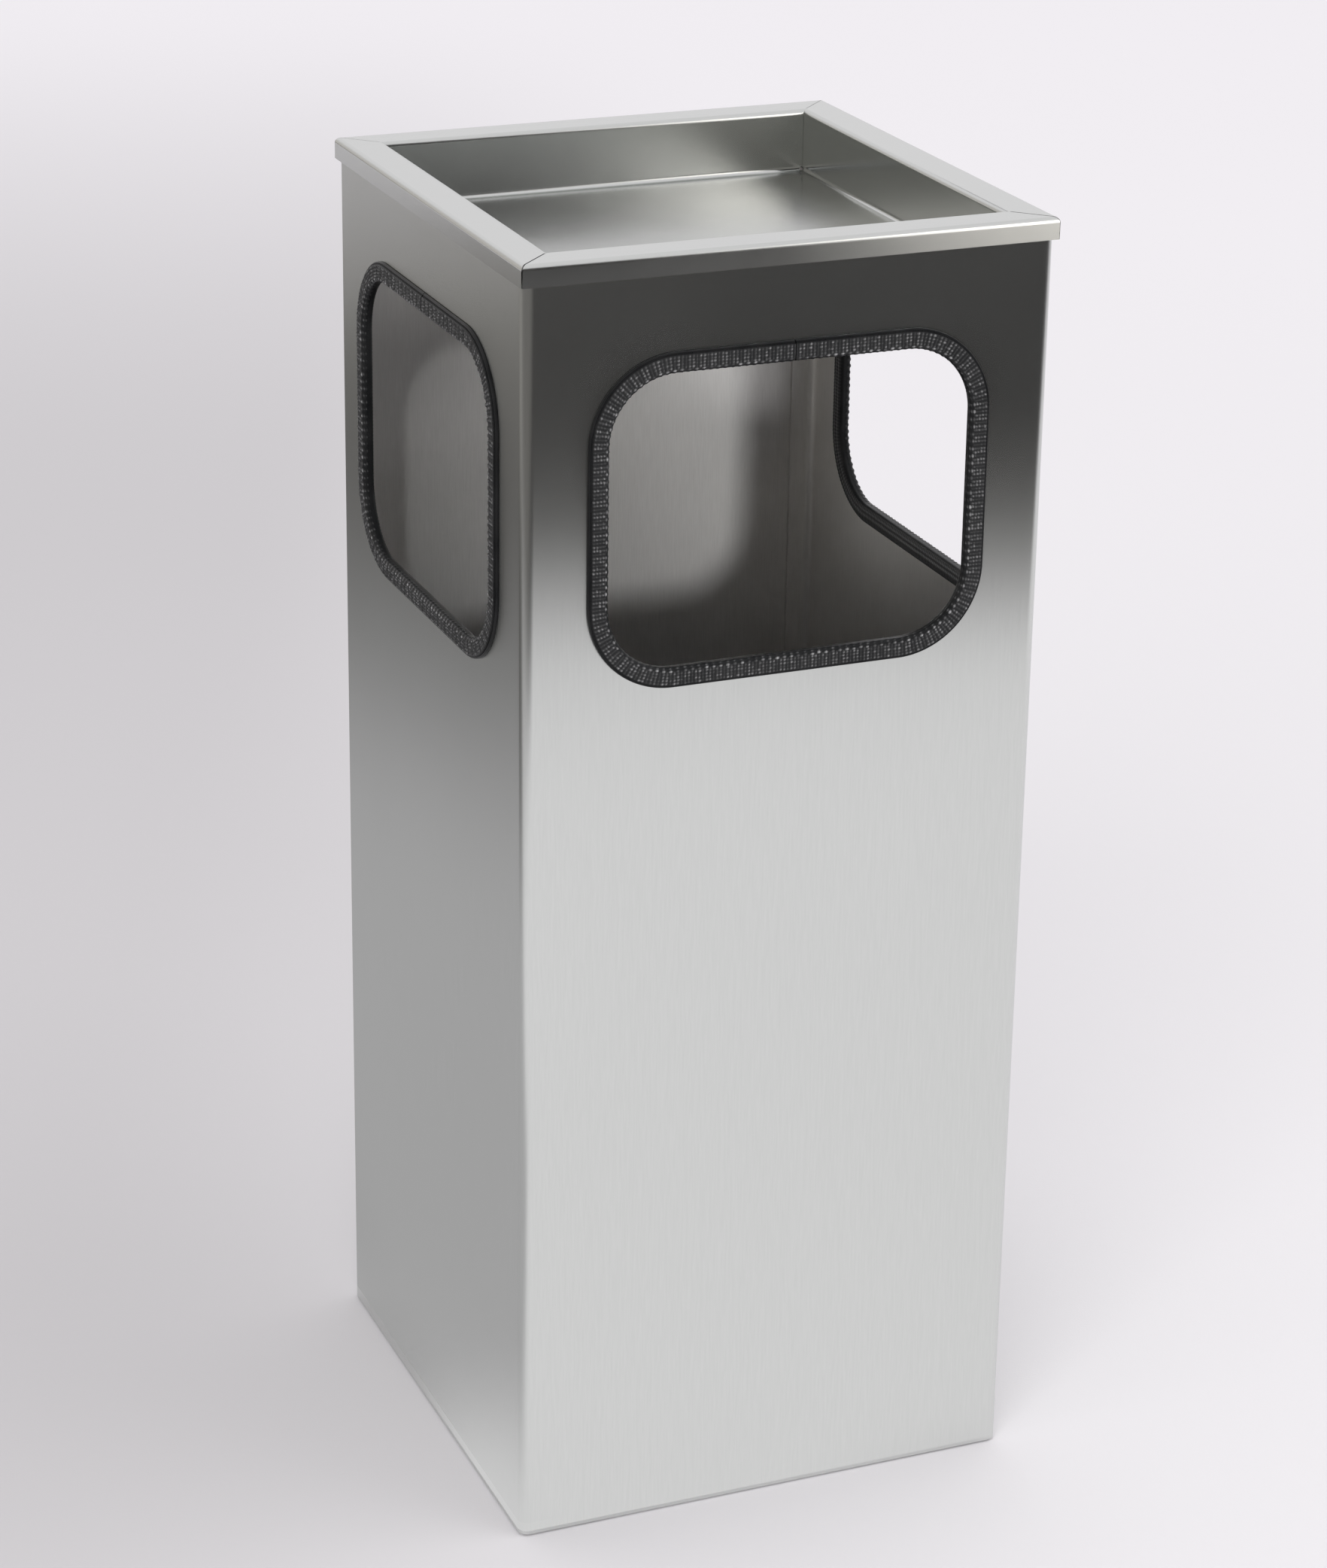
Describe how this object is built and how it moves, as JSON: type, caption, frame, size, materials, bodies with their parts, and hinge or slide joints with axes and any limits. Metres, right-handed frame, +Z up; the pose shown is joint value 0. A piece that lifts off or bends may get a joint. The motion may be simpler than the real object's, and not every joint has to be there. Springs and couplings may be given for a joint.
{
  "type": "ashtray bin",
  "caption": "Tall square stainless steel litter bin with trimmed openings near the top and a lift-off ash tray lid.",
  "frame": {"origin": "on the floor, under the middle of the bin", "axes": "+Z up, -Y out of the front wall, +X to the right seen from the front"},
  "size_m": [0.2556, 0.2542, 0.6174],
  "materials": {
    "casing_steel": "brushed upright, fine grain",
    "tray_steel": "brushed, grain along each lip",
    "galvanised": "hot-dip zinc with a faint spangle",
    "zinc_plated": "bright zinc plate",
    "spring_steel": "bare spring steel",
    "trim": "black soft PVC, embossed with cross ribs",
    "foot_rubber": "matt moulded rubber"
  },
  "bodies": {
    "bin": {"casing": "casing_steel", "base_pan": "galvanised", "edge_trim_front": "trim", "trim_core_front": "spring_steel", "edge_trim_left": "trim", "trim_core_left": "spring_steel", "edge_trim_right": "trim", "trim_core_right": "spring_steel", "foot_front_left": "foot_rubber", "foot_screw_front_left": "zinc_plated", "foot_washer_front_left": "zinc_plated", "foot_nut_front_left": "zinc_plated", "foot_front_right": "foot_rubber", "foot_screw_front_right": "zinc_plated", "foot_washer_front_right": "zinc_plated", "foot_nut_front_right": "zinc_plated", "foot_back_left": "foot_rubber", "foot_screw_back_left": "zinc_plated", "foot_washer_back_left": "zinc_plated", "foot_nut_back_left": "zinc_plated", "foot_back_right": "foot_rubber", "foot_screw_back_right": "zinc_plated", "foot_washer_back_right": "zinc_plated", "foot_nut_back_right": "zinc_plated"},
    "tray": {"ash_tray": "tray_steel"},
    "liner": {"liner_body": "galvanised", "liner_bottom": "galvanised", "bail_ear_left": "galvanised", "bail_ear_right": "galvanised", "ear_rivet_left_front": "zinc_plated", "ear_rivet_left_back": "zinc_plated", "ear_rivet_right_front": "zinc_plated", "ear_rivet_right_back": "zinc_plated"},
    "bail": {"bail": "zinc_plated"}
  },
  "joints": [
    {"name": "ash_tray_lift", "type": "slide", "parent": "bin", "child": "tray", "axis": [0, 0, 1], "range_m": [0, 0.76]},
    {"name": "liner_lift", "type": "slide", "parent": "bin", "child": "liner", "axis": [0, 0, 1], "range_m": [0, 0.61]},
    {"name": "bail_swing", "type": "hinge", "parent": "liner", "child": "bail", "pos_m": [0, 0, 0.303], "axis": [-1, 0, 0], "range_deg": [0, 160]}
  ],
  "couplings": [
    {"joint": "liner_lift", "follows": "ash_tray_lift", "ratio": 0.8}
  ]
}
